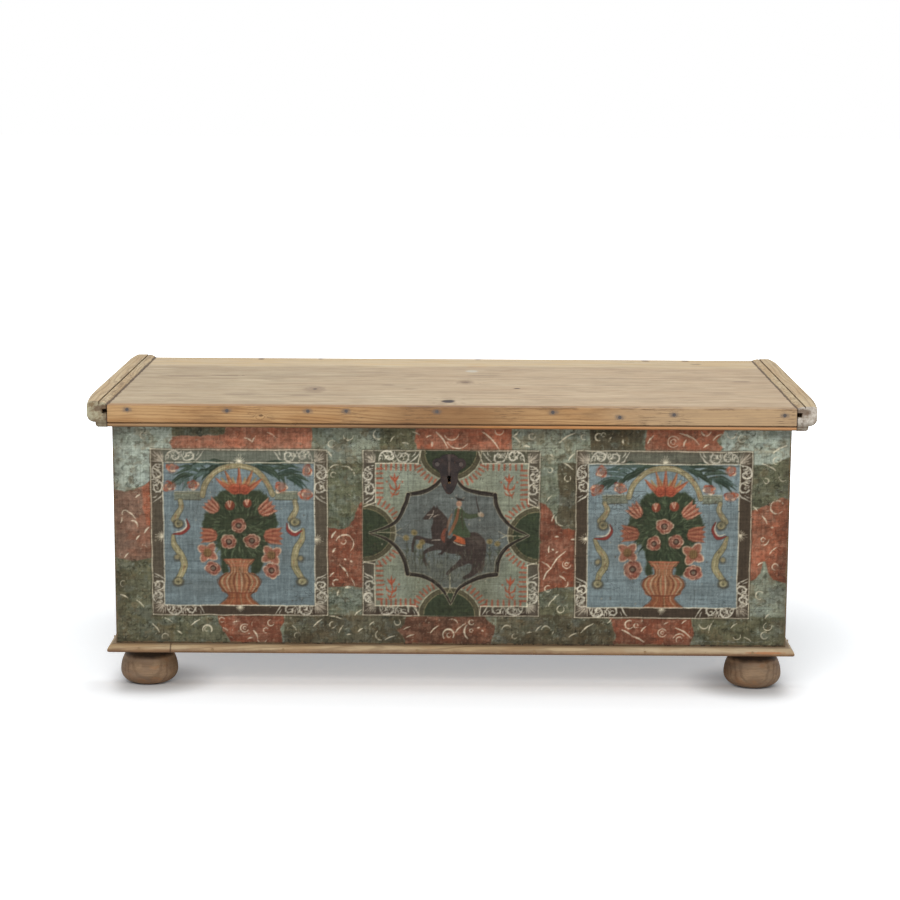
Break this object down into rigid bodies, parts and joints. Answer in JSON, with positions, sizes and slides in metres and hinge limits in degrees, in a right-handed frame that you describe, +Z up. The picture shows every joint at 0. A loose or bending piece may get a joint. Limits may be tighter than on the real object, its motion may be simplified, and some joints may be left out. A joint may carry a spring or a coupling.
{
  "type": "storage chest",
  "caption": "Low blanket chest on bun feet: painted dovetailed carcass, boarded lid between moulded end cleats, strap hinges, inside lock and drop handles.",
  "frame": {"origin": "on the floor, under the middle of the whole chest", "axes": "+X to the right along the front, the front faces -Y, +Z up"},
  "size_m": [1.421, 0.7, 0.5735],
  "materials": {
    "front_paint": "aged casein paint, marbled and figured, matt with fine cracks",
    "end_paint": "aged plain grey green casein paint, rubbed through",
    "back_wood": "bare planed softwood, darkened",
    "bottom_wood": "bare planed softwood",
    "plinth_wood": "worn softwood moulding, waxed",
    "foot_wood": "turned softwood, waxed, rubbed",
    "wedge_wood": "hardwood",
    "lid_wood": "bleached dry softwood, matt",
    "strip_wood": "orange tan softwood, satin wax",
    "cleat_wood": "dry softwood with paint remains on the end grain",
    "nail_iron": "rusted wrought iron",
    "hinge_iron": "wrought iron, dark",
    "lock_iron": "filed wrought iron, dark, rubbed bright on the bolt",
    "escutcheon_iron": "embossed sheet iron, dark brown",
    "handle_iron": "wrought iron, dark"
  },
  "bodies": {
    "root": {"front_panel": "front_paint", "left_end_panel": "end_paint", "right_end_panel": "end_paint", "back_panel": "back_wood", "bottom_board_front": "bottom_wood", "bottom_board_middle": "bottom_wood", "bottom_board_back": "bottom_wood", "plinth_front": "plinth_wood", "plinth_front_patch": "plinth_wood", "plinth_left": "plinth_wood", "plinth_right": "plinth_wood", "foot_front_left": "foot_wood", "foot_front_right": "foot_wood", "foot_back_left": "foot_wood", "foot_back_right": "foot_wood", "foot_wedges": "wedge_wood", "plinth_nails": "nail_iron", "bottom_nails": "nail_iron", "hinge_leaf_left": "hinge_iron", "hinge_leaf_right": "hinge_iron", "hinge_pin_left": "hinge_iron", "hinge_pin_right": "hinge_iron", "hinge_leaf_nails": "hinge_iron", "lock_plate": "lock_iron", "lock_bolt_guides": "lock_iron", "lock_spring": "lock_iron", "lock_cover": "lock_iron", "lock_drill_pin": "lock_iron", "lock_nails": "lock_iron", "lock_cover_rivets": "lock_iron", "escutcheon": "escutcheon_iron", "escutcheon_nails": "escutcheon_iron", "handle_plate_left": "handle_iron", "handle_plate_right": "handle_iron", "handle_posts_left": "handle_iron", "handle_posts_right": "handle_iron", "handle_plate_nails": "handle_iron"},
    "lid": {"lid_board_front": "lid_wood", "lid_board_middle": "lid_wood", "lid_board_back": "lid_wood", "lid_front_strip": "strip_wood", "lid_cleat_left": "cleat_wood", "lid_cleat_right": "cleat_wood", "lid_strip_nails": "nail_iron", "lid_cleat_nails": "nail_iron", "hinge_strap_left": "hinge_iron", "hinge_strap_right": "hinge_iron", "hinge_strap_nails": "hinge_iron", "lid_staple": "lock_iron", "lid_staple_nails": "lock_iron"},
    "lock_bolt": {"lock_bolt": "lock_iron"},
    "left_bail": {"handle_bail_left": "handle_iron"},
    "right_bail": {"handle_bail_right": "handle_iron"}
  },
  "joints": [
    {"name": "lid_hinge", "type": "hinge", "parent": "root", "child": "lid", "pos_m": [0, 0.3424, 0.5326], "axis": [-1, 0, 0], "range_deg": [0, 100]},
    {"name": "lock_bolt_slide", "type": "slide", "parent": "root", "child": "lock_bolt", "axis": [1, 0, 0], "range_m": [0, 0.014]},
    {"name": "left_bail_swing", "type": "hinge", "parent": "root", "child": "left_bail", "pos_m": [-0.6685, 0.0055, 0.36938], "axis": [0, 1, 0], "range_deg": [0, 170]},
    {"name": "right_bail_swing", "type": "hinge", "parent": "root", "child": "right_bail", "pos_m": [0.6685, 0.0055, 0.36938], "axis": [0, -1, 0], "range_deg": [0, 170]}
  ]
}
